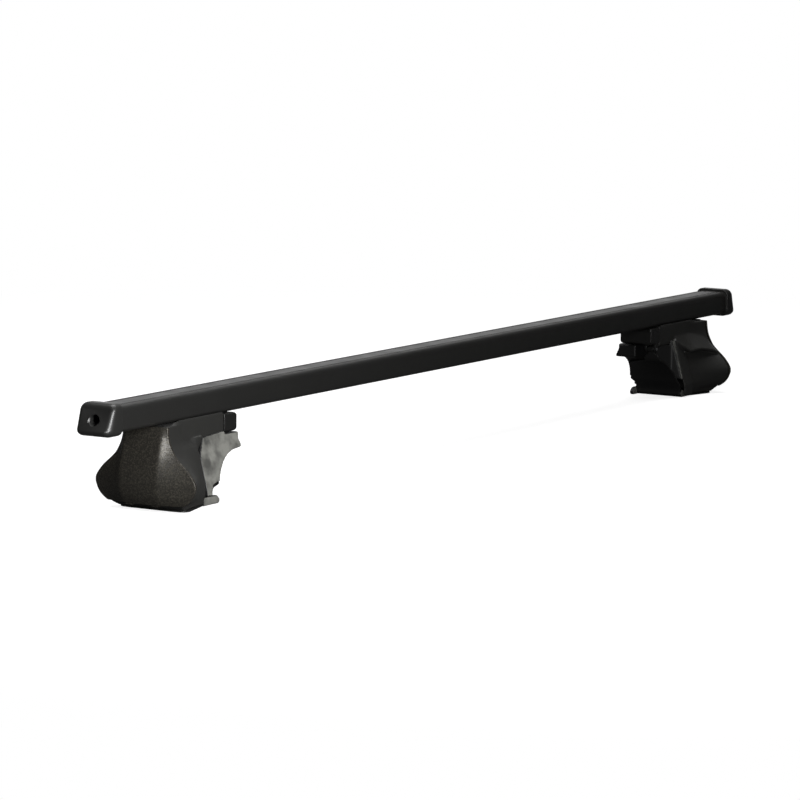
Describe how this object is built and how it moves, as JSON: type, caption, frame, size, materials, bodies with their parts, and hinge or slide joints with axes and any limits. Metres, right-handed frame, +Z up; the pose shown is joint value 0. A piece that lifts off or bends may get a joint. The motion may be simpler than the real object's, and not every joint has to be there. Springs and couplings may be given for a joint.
{
  "type": "roof rack crossbar",
  "caption": "Roof rack crossbar: a slotted steel bar with end caps on two clamping feet with hinged covers, rail pads and straps.",
  "frame": {"origin": "centre of the footprint on the ground under the two feet", "axes": "+X along the bar, +Y to the back, +Z up"},
  "size_m": [1.188, 0.1042, 0.102],
  "materials": {
    "bar_coat": "satin black coating",
    "cap_plastic": "satin moulded",
    "housing_nylon": "fine moulded grain",
    "cover_mica": "satin mica paint",
    "sole_plastic": "moulded",
    "black_rubber": "matt",
    "grey_rubber": "smooth",
    "strap_black": "rubber over a steel band",
    "claw_black": "black coating",
    "zinc_steel": "zinc plated",
    "brass_washer": "plain"
  },
  "bodies": {
    "bar": {"bar": "bar_coat", "left_cap": "cap_plastic", "right_cap": "cap_plastic", "left_cap_screw": "zinc_steel", "right_cap_screw": "zinc_steel"},
    "left_foot": {"left_housing": "housing_nylon", "left_hinge_pin": "zinc_steel", "left_saddle": "black_rubber", "left_clamp_plate": "zinc_steel", "left_clamp_bolts": "zinc_steel", "left_clamp_nuts": "zinc_steel", "left_sole": "sole_plastic", "left_sole_screws": "zinc_steel", "left_rail_pad": "grey_rubber", "left_lower_lip": "grey_rubber", "left_thrust_washer": "brass_washer"},
    "left_cover": {"left_cover": "cover_mica"},
    "left_screw": {"left_tension_screw": "zinc_steel"},
    "left_claw": {"left_claw": "claw_black", "left_claw_nut": "zinc_steel", "left_strap_pin": "zinc_steel"},
    "left_strap": {"left_strap": "strap_black"},
    "right_foot": {"right_housing": "housing_nylon", "right_hinge_pin": "zinc_steel", "right_saddle": "black_rubber", "right_clamp_plate": "zinc_steel", "right_clamp_bolts": "zinc_steel", "right_clamp_nuts": "zinc_steel", "right_sole": "sole_plastic", "right_sole_screws": "zinc_steel", "right_rail_pad": "grey_rubber", "right_lower_lip": "grey_rubber", "right_thrust_washer": "brass_washer"},
    "right_cover": {"right_cover": "cover_mica"},
    "right_screw": {"right_tension_screw": "zinc_steel"},
    "right_claw": {"right_claw": "claw_black", "right_claw_nut": "zinc_steel", "right_strap_pin": "zinc_steel"},
    "right_strap": {"right_strap": "strap_black"}
  },
  "joints": [
    {"name": "left_foot_slide", "type": "slide", "parent": "bar", "child": "left_foot", "axis": [1, 0, 0], "range_m": [-0.03, 0.1]},
    {"name": "left_cover_hinge", "type": "hinge", "parent": "left_foot", "child": "left_cover", "pos_m": [-0.5114, 0, 0.0082], "axis": [0, -1, 0], "range_deg": [0, 70]},
    {"name": "left_screw_turn", "type": "hinge", "parent": "left_foot", "child": "left_screw", "pos_m": [-0.5, 0, 0.0624], "axis": [-1, 0, 0], "range_deg": [0, 2880]},
    {"name": "left_claw_slide", "type": "slide", "parent": "left_foot", "child": "left_claw", "axis": [1, 0, 0], "range_m": [0, 0.008]},
    {"name": "left_strap_swing", "type": "hinge", "parent": "left_claw", "child": "left_strap", "pos_m": [-0.407, 0.011, 0.0535], "axis": [0, -1, 0], "range_deg": [0, 70]},
    {"name": "right_foot_slide", "type": "slide", "parent": "bar", "child": "right_foot", "axis": [-1, 0, 0], "range_m": [-0.03, 0.1]},
    {"name": "right_cover_hinge", "type": "hinge", "parent": "right_foot", "child": "right_cover", "pos_m": [0.5174, 0, 0.0082], "axis": [0, 1, 0], "range_deg": [0, 70]},
    {"name": "right_screw_turn", "type": "hinge", "parent": "right_foot", "child": "right_screw", "pos_m": [0.506, 0, 0.0624], "axis": [1, 0, 0], "range_deg": [0, 2880]},
    {"name": "right_claw_slide", "type": "slide", "parent": "right_foot", "child": "right_claw", "axis": [-1, 0, 0], "range_m": [0, 0.008]},
    {"name": "right_strap_swing", "type": "hinge", "parent": "right_claw", "child": "right_strap", "pos_m": [0.413, -0.011, 0.0535], "axis": [0, 1, 0], "range_deg": [0, 70]}
  ],
  "couplings": [
    {"joint": "left_screw_turn", "follows": "left_claw_slide", "rad_per_m": 6283.2},
    {"joint": "right_screw_turn", "follows": "right_claw_slide", "rad_per_m": 6283.2}
  ]
}
